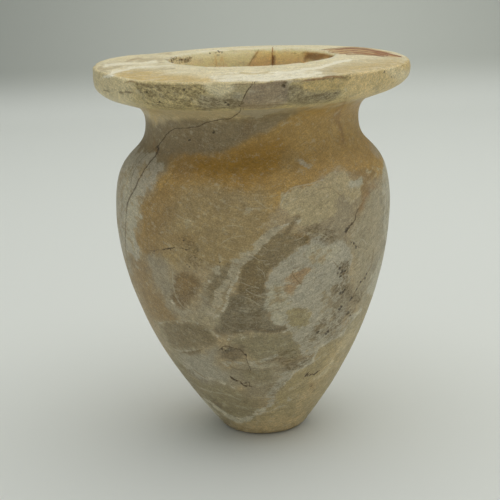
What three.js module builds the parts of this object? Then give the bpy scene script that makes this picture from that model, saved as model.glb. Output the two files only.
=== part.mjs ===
// An open alabaster jar of the kind made for canopic sets, carved from one block: a small flat foot,
// an egg-shaped body, a short waisted neck, a broad thick rim and a bored cavity. Millimetres, +Z up,
// with the origin at the middle of the foot.
import * as THREE from "three";

// The outside, from the foot up.
const HEIGHT = 240; // the foot to the top of the rim
const FOOT_RADIUS = 26.5; // to the corner of the foot, before its edge is rounded
const FOOT_EDGE_ROUND = 3.5;
const BELLY_RADIUS = 86.5;
const BELLY_HEIGHT = 149;
const FLANK_POWER = 1.9; // 2 is a parabola from the foot to the belly
const SHOULDER_FULLNESS = 41; // how far the belly's curve carries on above the belly
const NECK_RADIUS = 66.2; // at the waist of the neck
const NECK_HEIGHT = 203;
const NECK_SWEEP = 24; // how far the waist's curve reaches down towards the shoulder

// The rim.
const RIM_RADIUS = 98;
const RIM_EDGE_HEIGHT = 13.4;
const RIM_EDGE_LEAN = 1.6; // how much narrower the edge is at its lower corner
const UNDERSIDE_SLOPE_DEG = 19; // the rim's underside climbs outwards
const UNDERSIDE_FILLET = 10; // between the neck and the underside
const RIM_LOWER_ROUND_OUT = 5.5; // the lower corner's rounding, up the edge
const RIM_LOWER_ROUND_IN = 11; // and in along the underside
const RIM_UPPER_ROUND = 4.5;
const RIM_TOP_DROP = 3.4; // the top falls away this much from the lid's seat to the edge
const SEAT_WIDTH = 11; // the level ring round the mouth, on which a lid would sit

// The cavity.
const MOUTH_RADIUS = 51;
const MOUTH_EDGE_ROUND = 1.5;
const FOOT_WALL = 20; // the wall low in the body; at the neck it is what the mouth's bore leaves
const FLOOR_THICKNESS = 24;
const FLOOR_ROUND = 9; // the rise of the cavity's rounded floor

// What the hand-held work left uneven.
const BODY_DRIFT = 2.6; // the middle of the body stands this far to the left of the rim and foot
const UNDERSIDE_TILT = 0.7; // the rim is thicker by this much on the left, and thinner on the right

// How finely the solid is cut into facets.
const FACETS_ROUND = 64;
const FLANK_STEPS = 12;
const SHOULDER_STEPS = 11;
const ROUND_STEPS = 3;
const FLOOR_STEPS = 4;

const point = (radius, height) => new THREE.Vector2(radius, height);

// Radius of the body below the belly.
function flankRadius(height) {
  const left = 1 - height / BELLY_HEIGHT;
  return FOOT_RADIUS + (BELLY_RADIUS - FOOT_RADIUS) * (1 - left ** FLANK_POWER);
}

function roundedCorner(from, corner, to) {
  return new THREE.QuadraticBezierCurve(from, corner, to).getPoints(ROUND_STEPS);
}

// A point that lies a given distance from a corner, on the way to another point.
function towards(corner, other, distance) {
  const way = other.clone().sub(corner).normalize();
  return corner.clone().addScaledVector(way, distance);
}

// The foot, from the axis outwards to the start of the flank.
function footProfile() {
  const flat = point(FOOT_RADIUS - FOOT_EDGE_ROUND, 0);
  const flankStart = point(flankRadius(FOOT_EDGE_ROUND), FOOT_EDGE_ROUND);
  return [point(0, 0), ...roundedCorner(flat, point(FOOT_RADIUS, 0), flankStart)];
}

// The body, from just above the foot's edge to the waist of the neck.
function bodyProfile() {
  const points = [];
  for (let i = 0; i <= FLANK_STEPS; i += 1) {
    const rise = i / FLANK_STEPS;
    const height = FOOT_EDGE_ROUND + (BELLY_HEIGHT - FOOT_EDGE_ROUND) * rise;
    points.push(point(flankRadius(height), height));
  }
  const shoulder = new THREE.CubicBezierCurve(
    point(BELLY_RADIUS, BELLY_HEIGHT),
    point(BELLY_RADIUS, BELLY_HEIGHT + SHOULDER_FULLNESS),
    point(NECK_RADIUS, NECK_HEIGHT - NECK_SWEEP),
    point(NECK_RADIUS, NECK_HEIGHT),
  );
  return [...points, ...shoulder.getPoints(SHOULDER_STEPS).slice(1)];
}

// The rim, from the waist of the neck round to the mouth's edge.
function rimProfile() {
  const slope = Math.tan(THREE.MathUtils.degToRad(UNDERSIDE_SLOPE_DEG));
  const edgeTop = point(RIM_RADIUS, HEIGHT - RIM_TOP_DROP);
  const edgeFoot = point(RIM_RADIUS - RIM_EDGE_LEAN, edgeTop.y - RIM_EDGE_HEIGHT);
  const root = point(NECK_RADIUS, edgeFoot.y - (edgeFoot.x - NECK_RADIUS) * slope);
  const filletEnd = towards(root, edgeFoot, UNDERSIDE_FILLET);
  const seatEdge = point(MOUTH_RADIUS + SEAT_WIDTH, HEIGHT);
  const mouthEdge = point(MOUTH_RADIUS, HEIGHT);
  return [
    ...roundedCorner(point(NECK_RADIUS, NECK_HEIGHT), root, filletEnd).slice(1),
    ...roundedCorner(
      towards(edgeFoot, root, RIM_LOWER_ROUND_IN),
      edgeFoot,
      towards(edgeFoot, edgeTop, RIM_LOWER_ROUND_OUT),
    ),
    ...roundedCorner(
      towards(edgeTop, edgeFoot, RIM_UPPER_ROUND),
      edgeTop,
      towards(edgeTop, seatEdge, RIM_UPPER_ROUND),
    ),
    seatEdge,
    ...roundedCorner(
      towards(mouthEdge, seatEdge, MOUTH_EDGE_ROUND),
      mouthEdge,
      point(MOUTH_RADIUS, HEIGHT - MOUTH_EDGE_ROUND),
    ),
  ];
}

// The cavity, from the neck down to the axis: the body's own profile, set in by the wall's thickness.
function cavityProfile(body) {
  const neckWall = NECK_RADIUS - MOUTH_RADIUS;
  const points = [];
  for (let i = body.length - 1; i > 0; i -= 1) {
    const above = body[Math.min(i + 1, body.length - 1)];
    const along = above.clone().sub(body[i - 1]).normalize();
    const wall = THREE.MathUtils.lerp(FOOT_WALL, neckWall, body[i].y / NECK_HEIGHT);
    const inside = point(body[i].x - along.y * wall, body[i].y + along.x * wall);
    if (inside.y < FLOOR_THICKNESS + FLOOR_ROUND) break;
    points.push(inside);
  }
  const [last, lastBefore] = [points.at(-1), points.at(-2)];
  const lean = (lastBefore.x - last.x) / (lastBefore.y - last.y);
  const corner = point(last.x - (last.y - FLOOR_THICKNESS) * lean, FLOOR_THICKNESS);
  const floor = new THREE.QuadraticBezierCurve(last, corner, point(0, FLOOR_THICKNESS));
  return [...points, ...floor.getPoints(FLOOR_STEPS).slice(1)];
}

// Moves the turned form's vertices to the slightly uneven shape of the carved one.
function carveUnevenly(geometry) {
  const position = geometry.getAttribute("position");
  for (let i = 0; i < position.count; i += 1) {
    const x = position.getX(i);
    const z = position.getZ(i);
    const drift = BODY_DRIFT * Math.sin((Math.PI * z) / HEIGHT);
    const aboveNeck = Math.max(0, (z - NECK_HEIGHT) / (HEIGHT - NECK_HEIGHT));
    const tilt = UNDERSIDE_TILT * Math.sin(Math.PI * aboveNeck) * (x / RIM_RADIUS);
    position.setX(i, x - drift);
    position.setZ(i, z + tilt);
  }
  geometry.computeVertexNormals();
  return geometry;
}

function jarGeometry() {
  const body = bodyProfile();
  const profile = [...footProfile(), ...body.slice(1), ...rimProfile(), ...cavityProfile(body)];
  const turned = new THREE.LatheGeometry(profile, FACETS_ROUND);
  turned.rotateX(Math.PI / 2); // the lathe turns about +Y
  return carveUnevenly(turned);
}

const alabaster = new THREE.MeshStandardMaterial({ color: 0xa8906a, roughness: 0.5, metalness: 0 });

const jar = new THREE.Mesh(jarGeometry(), alabaster);
jar.name = "jar";

const part = new THREE.Group();
part.add(jar);
export default part;
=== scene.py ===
"""An open alabaster jar of the kind made for canopic sets, carved from one block.

The jar is one piece: a fine mesh on the same profile as the solid that it stands for, with the
unevenness, chips and worn edges of the carved stone, and with the stone's zones, clouds, veins,
cracks and dirt laid on its surface as attributes that the material reads.
"""
import math

import bpy
import numpy as np
from mathutils import Euler, Matrix, Vector, noise


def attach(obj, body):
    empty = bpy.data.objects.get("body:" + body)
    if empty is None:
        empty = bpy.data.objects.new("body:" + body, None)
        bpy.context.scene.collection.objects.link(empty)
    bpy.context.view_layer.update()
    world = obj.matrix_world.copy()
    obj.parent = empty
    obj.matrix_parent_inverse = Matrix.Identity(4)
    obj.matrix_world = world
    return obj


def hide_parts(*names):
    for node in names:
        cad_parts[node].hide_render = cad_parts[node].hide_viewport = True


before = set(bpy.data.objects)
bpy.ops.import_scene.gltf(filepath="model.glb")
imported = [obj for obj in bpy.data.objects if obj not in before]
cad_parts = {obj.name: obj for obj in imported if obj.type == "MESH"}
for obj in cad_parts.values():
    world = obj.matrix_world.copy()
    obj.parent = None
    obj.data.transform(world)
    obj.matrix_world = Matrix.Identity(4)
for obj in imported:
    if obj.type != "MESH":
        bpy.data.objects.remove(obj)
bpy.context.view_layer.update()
MM = 0.001

# The outside, from the foot up, in millimetres.
HEIGHT = 240.0
FOOT_RADIUS = 26.5
FOOT_EDGE_ROUND = 4.5
BELLY_RADIUS = 86.5
BELLY_HEIGHT = 149.0
FLANK_POWER = 1.9
SHOULDER_FULLNESS = 41.0
NECK_RADIUS = 66.2
NECK_HEIGHT = 203.0
NECK_SWEEP = 24.0

# The rim.
RIM_RADIUS = 98.0
RIM_EDGE_HEIGHT = 13.4
RIM_EDGE_LEAN = 1.6
UNDERSIDE_SLOPE = math.radians(19)
UNDERSIDE_FILLET = 10.0
RIM_LOWER_ROUND_OUT = 5.5
RIM_LOWER_ROUND_IN = 11.0
RIM_UPPER_ROUND = 1.8
RIM_TOP_DROP = 3.4
SEAT_WIDTH = 11.0

# The cavity.
MOUTH_RADIUS = 51.0
MOUTH_EDGE_ROUND = 1.5
FOOT_WALL = 20.0
FLOOR_THICKNESS = 24.0
FLOOR_ROUND = 9.0

AXIS_GAP = 0.5  # the mesh ends in a small flat face this far from the axis

# What the hand-held work left uneven.
BODY_DRIFT = 2.6
UNDERSIDE_TILT = 0.7
LEFT_LIFT = 2.2  # how much the rim's upper left corner stands above the turned form

# How close the mesh's columns stand, round the front and round the back.
FRONT_ANGLE = math.radians(176)
FRONT_STEP = 0.0133
BACK_STEP = 0.042

# The camera, fitted to the outline of the jar in a picture of 500 by 500 points.
PICTURE = 500
FOCAL_POINTS = 1239.4
SENSOR_MM = 36.0
CAMERA_AT = Vector((-5.4, -768.0, 321.9)) * MM
CAMERA_DOWN = math.radians(14.96)
CAMERA_ROLL = math.radians(-2.13)


def make_camera():
    data = bpy.data.cameras.new("camera")
    data.sensor_width = SENSOR_MM
    data.lens = FOCAL_POINTS * SENSOR_MM / PICTURE
    data.clip_start = 0.05
    camera = bpy.data.objects.new("camera", data)
    turn = Euler((math.radians(90) - CAMERA_DOWN, 0, 0)).to_matrix()
    turn = turn @ Matrix.Rotation(CAMERA_ROLL, 3, "Z")
    camera.matrix_world = Matrix.Translation(CAMERA_AT) @ turn.to_4x4()
    bpy.context.scene.collection.objects.link(camera)
    bpy.context.scene.camera = camera
    return camera


def picture_points(camera, places):
    """Where places on the jar, in metres, stand in the picture."""
    inverse = np.array(camera.matrix_world.inverted())
    seen = places @ inverse[:3, :3].T + inverse[:3, 3]
    scale = FOCAL_POINTS / -seen[:, 2]
    return np.stack([PICTURE / 2 + seen[:, 0] * scale, PICTURE / 2 - seen[:, 1] * scale], axis=1)


# The profile.

def curve(*corners, steps=24):
    """Points along the Bezier curve with the given control points."""
    t = np.linspace(0, 1, steps + 1)[:, None]
    degree = len(corners) - 1
    return sum(
        math.comb(degree, i) * (1 - t) ** (degree - i) * t**i * np.array(corner)
        for i, corner in enumerate(corners)
    )


def towards(corner, other, distance):
    way = np.subtract(other, corner)
    return np.array(corner) + way / np.linalg.norm(way) * distance


def flank_radius(height):
    left = 1 - height / BELLY_HEIGHT
    return FOOT_RADIUS + (BELLY_RADIUS - FOOT_RADIUS) * (1 - left**FLANK_POWER)


def body_profile():
    heights = np.linspace(FOOT_EDGE_ROUND, BELLY_HEIGHT, 120)
    flank = np.stack([flank_radius(heights), heights], axis=1)
    shoulder = curve(
        (BELLY_RADIUS, BELLY_HEIGHT),
        (BELLY_RADIUS, BELLY_HEIGHT + SHOULDER_FULLNESS),
        (NECK_RADIUS, NECK_HEIGHT - NECK_SWEEP),
        (NECK_RADIUS, NECK_HEIGHT),
        steps=60,
    )
    return np.concatenate([flank, shoulder[1:]])


def cavity_profile(body):
    along = np.gradient(body, axis=0)
    along /= np.linalg.norm(along, axis=1)[:, None]
    wall = FOOT_WALL + (NECK_RADIUS - MOUTH_RADIUS - FOOT_WALL) * body[:, 1] / NECK_HEIGHT
    inside = body + np.stack([-along[:, 1], along[:, 0]], axis=1) * wall[:, None]
    inside = inside[inside[:, 1] > FLOOR_THICKNESS + FLOOR_ROUND][::-1]
    last, before = inside[-1], inside[-4]
    lean = (before[0] - last[0]) / (before[1] - last[1])
    corner = (last[0] - (last[1] - FLOOR_THICKNESS) * lean, FLOOR_THICKNESS)
    return inside, curve(last, corner, (AXIS_GAP, FLOOR_THICKNESS))


def profile_parts():
    """The profile from the foot's middle round to the cavity's floor: (part, points, spacing)."""
    body = body_profile()
    flat = (FOOT_RADIUS - FOOT_EDGE_ROUND, 0)
    edge_top = (RIM_RADIUS, HEIGHT - RIM_TOP_DROP)
    edge_foot = (RIM_RADIUS - RIM_EDGE_LEAN, edge_top[1] - RIM_EDGE_HEIGHT)
    root = (NECK_RADIUS, edge_foot[1] - (edge_foot[0] - NECK_RADIUS) * math.tan(UNDERSIDE_SLOPE))
    seat_edge = (MOUTH_RADIUS + SEAT_WIDTH, HEIGHT)
    mouth_edge = (MOUTH_RADIUS, HEIGHT)
    lower = curve(
        towards(edge_foot, root, RIM_LOWER_ROUND_IN),
        edge_foot,
        towards(edge_foot, edge_top, RIM_LOWER_ROUND_OUT),
    )
    upper = curve(
        towards(edge_top, edge_foot, RIM_UPPER_ROUND),
        edge_top,
        towards(edge_top, seat_edge, RIM_UPPER_ROUND),
    )
    fillet = curve((NECK_RADIUS, NECK_HEIGHT), root, towards(root, edge_foot, UNDERSIDE_FILLET))
    mouth = curve(
        towards(mouth_edge, seat_edge, MOUTH_EDGE_ROUND),
        mouth_edge,
        (MOUTH_RADIUS, HEIGHT - MOUTH_EDGE_ROUND),
    )
    cavity, floor = cavity_profile(body)
    foot_edge = curve(flat, (FOOT_RADIUS, 0), (flank_radius(FOOT_EDGE_ROUND), FOOT_EDGE_ROUND))
    return [
        ("foot", np.array([(AXIS_GAP, 0), flat]), 4.0),
        ("body", foot_edge, 0.9),
        ("body", body, 1.32),
        ("body", fillet, 1.3),
        ("body", np.array([fillet[-1], lower[0]]), 1.3),
        ("edge", lower, 1.1),
        ("edge", np.array([lower[-1], upper[0]]), 1.0),
        ("edge", upper, 0.9),
        ("top", np.array([upper[-1], seat_edge]), 1.6),
        ("top", np.array([seat_edge, mouth[0]]), 1.6),
        ("top", mouth, 0.7),
        ("bore", np.array([mouth[-1], cavity[0]]), 1.6),
        ("cavity", cavity, 5.0),
        ("cavity", floor, 3.0),
    ]


def resample(points, spacing):
    steps = np.linalg.norm(np.diff(points, axis=0), axis=1)
    run = np.concatenate([[0], np.cumsum(steps)])
    count = max(2, int(round(run[-1] / spacing)) + 1)
    at = np.linspace(0, run[-1], count)
    return np.stack([np.interp(at, run, points[:, axis]) for axis in (0, 1)], axis=1)


def profile_rows():
    """Every row of the mesh: its radius, its height, and the part of the jar that it lies on."""
    rows, parts = [], []
    for part, points, spacing in profile_parts():
        fine = resample(points, spacing)
        fine = fine if not rows else fine[1:]
        rows.extend(fine)
        parts.extend([part] * len(fine))
    return np.array(rows), np.array(parts)


def column_angles():
    """The angles round the jar, from the left of the front, close together where the front shows."""
    back_angle = 2 * math.pi - FRONT_ANGLE
    edge = FRONT_ANGLE / 2
    front = np.linspace(-edge, edge, int(FRONT_ANGLE / FRONT_STEP) + 1)
    back = np.linspace(edge, edge + back_angle, int(back_angle / BACK_STEP) + 1)[1:-1]
    return np.concatenate([front, back])


# Waves and wear.

def waves(places, length, seed, octaves=2):
    """A smooth unevenness of about -1 to 1 at each place, with waves of the given length in mm."""
    shift = Vector((seed * 17.3, seed * 5.1, seed * 9.7))
    scale = 1 / length
    return np.array([
        noise.fractal(Vector(place) * scale + shift, 1.0, 2.0, octaves) for place in places.tolist()
    ])


def swell(places, layers):
    """Waves of several sizes together."""
    return sum(height * waves(places, length, seed) for height, length, seed in layers)


def smoothstep(low, high, value):
    t = np.clip((value - low) / (high - low), 0, 1)
    return t * t * (3 - 2 * t)


def smooth_line(points, closed=False, steps=5):
    """A smooth curve through the given points."""
    points = np.array(points, float)
    if closed:
        points = np.concatenate([points[-1:], points, points[:2]])
    else:
        points = np.concatenate([2 * points[:1] - points[1:2], points, 2 * points[-1:] - points[-2:-1]])
    t = np.linspace(0, 1, steps, endpoint=False)[:, None]
    spans = [
        0.5 * (2 * b + (c - a) * t + (2 * a - 5 * b + 4 * c - d) * t**2 + (3 * b - a - 3 * c + d) * t**3)
        for a, b, c, d in zip(points, points[1:], points[2:], points[3:])
    ]
    if not closed:
        spans.append(points[-2:-1])
    return np.concatenate(spans)


def line_distance(pixels, line):
    """Each pixel's distance to an open line, and the same with a sign for its side."""
    nearest = np.full(len(pixels), 1e9)
    side = np.full(len(pixels), 1e9)
    for a, b in zip(line, line[1:]):
        way = b - a
        off = pixels - a
        t = np.clip(off @ way / (way @ way), 0, 1)
        distance = np.linalg.norm(off - t[:, None] * way, axis=1)
        turn = way[0] * off[:, 1] - way[1] * off[:, 0]
        closer = distance < nearest
        nearest = np.where(closer, distance, nearest)
        side = np.where(closer, distance * np.sign(turn), side)
    return nearest, side


def outline_distance(pixels, outline):
    """Each pixel's distance to a closed outline, negative inside it."""
    nearest = np.full(len(pixels), 1e9)
    inside = np.zeros(len(pixels), bool)
    x, y = pixels[:, 0], pixels[:, 1]
    for a, b in zip(outline, np.roll(outline, -1, axis=0)):
        way = b - a
        off = pixels - a
        t = np.clip(off @ way / max(way @ way, 1e-9), 0, 1)
        nearest = np.minimum(nearest, np.linalg.norm(off - t[:, None] * way, axis=1))
        crosses = (a[1] > y) != (b[1] > y)
        rise = way[1] if abs(way[1]) > 1e-9 else 1e-9
        inside ^= crosses & (x < a[0] + (y - a[1]) * way[0] / rise)
    return np.where(inside, -nearest, nearest)


# The jar's mesh.

# Unevenness, as layers of waves: (height in mm, length in mm, seed).
BODY_SWELL = [(0.45, 60, 1), (0.16, 17, 2), (0.05, 5, 3)]
RIM_SWELL = [(0.25, 30, 4), (0.08, 8, 5)]
SURFACE = [(0.02, 2.6, 31), (0.035, 8, 32)]


def unevenly(places, parts):
    """Moves the turned form's places, in mm, to the uneven shape of the carved stone."""
    x, y, z = places.T
    out = np.stack([x, y, np.zeros_like(x)], axis=1)
    out /= np.maximum(np.linalg.norm(out, axis=1), 1e-6)[:, None]
    moved = places + out * (swell(places, BODY_SWELL) * smoothstep(0, 8, z))[:, None]
    moved[:, 0] -= BODY_DRIFT * np.sin(math.pi * z / HEIGHT)
    above_neck = np.maximum(0, (z - NECK_HEIGHT) / (HEIGHT - NECK_HEIGHT))
    moved[:, 2] += UNDERSIDE_TILT * np.sin(math.pi * above_neck) * (x / RIM_RADIUS)
    left_lift = LEFT_LIFT * smoothstep(58, 96, -x) * smoothstep(HEIGHT - 16, HEIGHT - 5, z)
    on_rim = np.isin(parts, ["top", "edge"])
    moved[:, 2] += np.where(on_rim, left_lift + swell(places, RIM_SWELL), 0)
    return moved


def jar_mesh():
    rows, row_parts = profile_rows()
    angles = column_angles()
    count = len(angles)
    radius, height = rows[:, 0][:, None], rows[:, 1][:, None]
    x, y = radius * np.sin(angles), -radius * np.cos(angles)
    places = np.stack([x, y, np.broadcast_to(height, x.shape)], axis=2).reshape(-1, 3)
    parts = np.repeat(row_parts, count)
    places = unevenly(places, parts)
    first = np.arange(len(rows) - 1)[:, None] * count
    here, beside = np.arange(count), np.roll(np.arange(count), -1)
    faces = np.stack([first + here, first + beside, first + beside + count, first + here + count], axis=2)
    faces = faces.reshape(-1, 4).tolist()
    faces.append(list(range(count))[::-1])
    faces.append([(len(rows) - 1) * count + i for i in range(count)])
    mesh = bpy.data.meshes.new("jar_stone")
    mesh.from_pydata((places * MM).tolist(), [], faces)
    mesh.shade_smooth()
    mesh.update()
    return mesh, places, parts


def mesh_normals(mesh):
    normals = np.empty(len(mesh.vertices) * 3)
    mesh.vertex_normals.foreach_get("vector", normals)
    return normals.reshape(-1, 3)


# Nicks and chips: (picture point, radius in points, depth in mm, part).
NICKS = [
    ((285, 84.5), 2.6, 1.0, "edge"), ((204.5, 84.6), 2.4, 0.45, "edge"), ((246, 97), 2.2, 0.4, "edge"),
    ((126, 91.6), 3.0, 0.35, "edge"), ((105.5, 90.6), 2.0, 0.35, "edge"), ((100.5, 74), 2.6, 0.6, "edge"),
    ((344.5, 77), 3.2, 0.5, "edge"), ((357, 75), 2.2, 0.45, "edge"), ((322, 79), 3.6, 0.5, "edge"),
    ((381, 72), 2.4, 0.5, "edge"), ((234, 104), 3.4, 0.4, "edge"), ((176, 85), 2.6, 0.4, "edge"),
    ((155, 85), 2.2, 0.35, "edge"), ((264, 50), 3.0, 0.7, "top"), ((333, 57), 2.4, 0.6, "top"),
    ((170, 59.6), 2.6, 0.4, "top"), ((217.5, 52.4), 2.0, 0.4, "top"), ((304, 63.6), 2.4, 0.3, "top"),
    ((297, 216), 3.4, 0.4, "body"), ((157.4, 149), 2.6, 0.4, "body"), ((232, 352), 4.0, 0.35, "body"),
    ((199, 350.6), 2.2, 0.3, "body"), ((228, 423), 4.0, 0.6, "body"), ((243, 429), 4.0, 0.7, "body"),
    ((262, 432), 4.0, 0.4, "body"), ((293, 426), 4.0, 0.6, "body"),
]


def near_corner(places, radius, height, full, reach):
    """1 up to a full distance from one of the profile's corners, and 0 from its reach on."""
    across = np.hypot(places[:, 0], places[:, 1]) - radius
    return 1 - smoothstep(full, reach, np.hypot(across, places[:, 2] - height))


def wear(mesh, places, parts, pixels, facing, crack_near, crack_strength):
    """Rounds the rim's ends, breaks the corners, sinks the cracks and nicks, and roughens the surface."""
    x, y, z = places.T
    rim_top = HEIGHT - RIM_TOP_DROP
    rim_ends = 1.2 * smoothstep(55, 92, x) + 0.5 * smoothstep(55, 92, -x)
    depth = swell(places, SURFACE) + near_corner(places, RIM_RADIUS, rim_top, 0.5, 5.5) * rim_ends
    for deep, corner, chips, whole in (
        (0.8, near_corner(places, RIM_RADIUS, rim_top, 1, 4.5), waves(places, 11, 33, 3), 0.12),
        (0.5, near_corner(places, FOOT_RADIUS, 0, 3, 11), waves(places, 14, 34), 0.05),
        (0.5, near_corner(places, MOUTH_RADIUS, HEIGHT, 0.5, 3), waves(places, 8, 35, 3), 0.1),
    ):
        depth += deep * corner * smoothstep(whole, 0.6, chips)
    for spot, reach, deep, part in NICKS:
        away = np.hypot(*(pixels - spot).T) / reach
        here = (facing > 0) & (parts == part)
        depth += np.where(here, deep * (1 - smoothstep(0.3, 1.1, away)), 0)
    depth += 0.16 * crack_strength * (1 - smoothstep(0.4, 1.8, crack_near))
    depth *= smoothstep(-0.5, 1.5, z)
    moved = places * MM - mesh_normals(mesh) * depth[:, None] * MM
    # The foot's underside is slightly hollow, and nothing reaches below the ground.
    hollow = 0.45 * (1 - smoothstep(6, 20, np.hypot(x, y))) + 0.12 * (1 + waves(places, 7, 36))
    moved[:, 2] = np.maximum(moved[:, 2] + np.where(z < 0.01, hollow, 0) * MM, 0)
    mesh.vertices.foreach_set("co", moved.ravel())
    mesh.update()


# The stone's colours, in sRGB out of 255.

COLOURS = {
    "buff": (176, 155, 116),
    "straw": (206, 186, 141),
    "yolk": (200, 172, 106),
    "ash": (181, 168, 138),
    "mauve": (147, 129, 93),
    "mole": (136, 114, 77),
    "amber": (171, 131, 52),
    "honey": (182, 147, 80),
    "tan": (166, 144, 99),
    "sepia": (155, 126, 76),
    "bone": (186, 169, 128),
    "slate": (152, 141, 115),
    "khaki": (173, 160, 128),
    "chalk": (190, 182, 155),
    "milk": (204, 195, 168),
    "umber": (131, 112, 74),
    "gravel": (141, 128, 99),
    "pearl": (182, 173, 149),
    "peach": (176, 144, 102),
    "olive": (149, 137, 103),
    "taupe": (141, 125, 91),
    "soot": (112, 99, 74),
    "cream": (176, 158, 115),
    "sand": (200, 177, 130),
    "ivory": (226, 213, 172),
    "snow": (240, 232, 204),
    "fawn": (203, 184, 130),
    "bark": (148, 112, 64),
    "rust": (138, 76, 16),
    # A painted glow, for the inside of the mouth.
    "ochre": (164, 112, 32),
    "painted_glow_butter": (241, 229, 192),
    "toffee": (226, 201, 146),
    "crack": (92, 72, 42),
    "dusk": (162, 143, 112),
    "wheat": (219, 194, 136),
    "moss": (163, 149, 104),
    "flint": (166, 153, 125),
    "dove": (171, 162, 139),
    "dirt": (110, 92, 56),
}


def linear(name):
    shade = np.array(COLOURS[name]) / 255
    return np.where(shade <= 0.04045, shade / 12.92, ((shade + 0.055) / 1.055) ** 2.4)


# What the stone shows, from the front. Places are picture points. A zone is (colour, strength,
# softness of its border, outline); a stroke is (colour, strength, half-width, softness, line); a
# blot is (colour, strength, softness, centre, half-sizes, turn in degrees).

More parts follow.
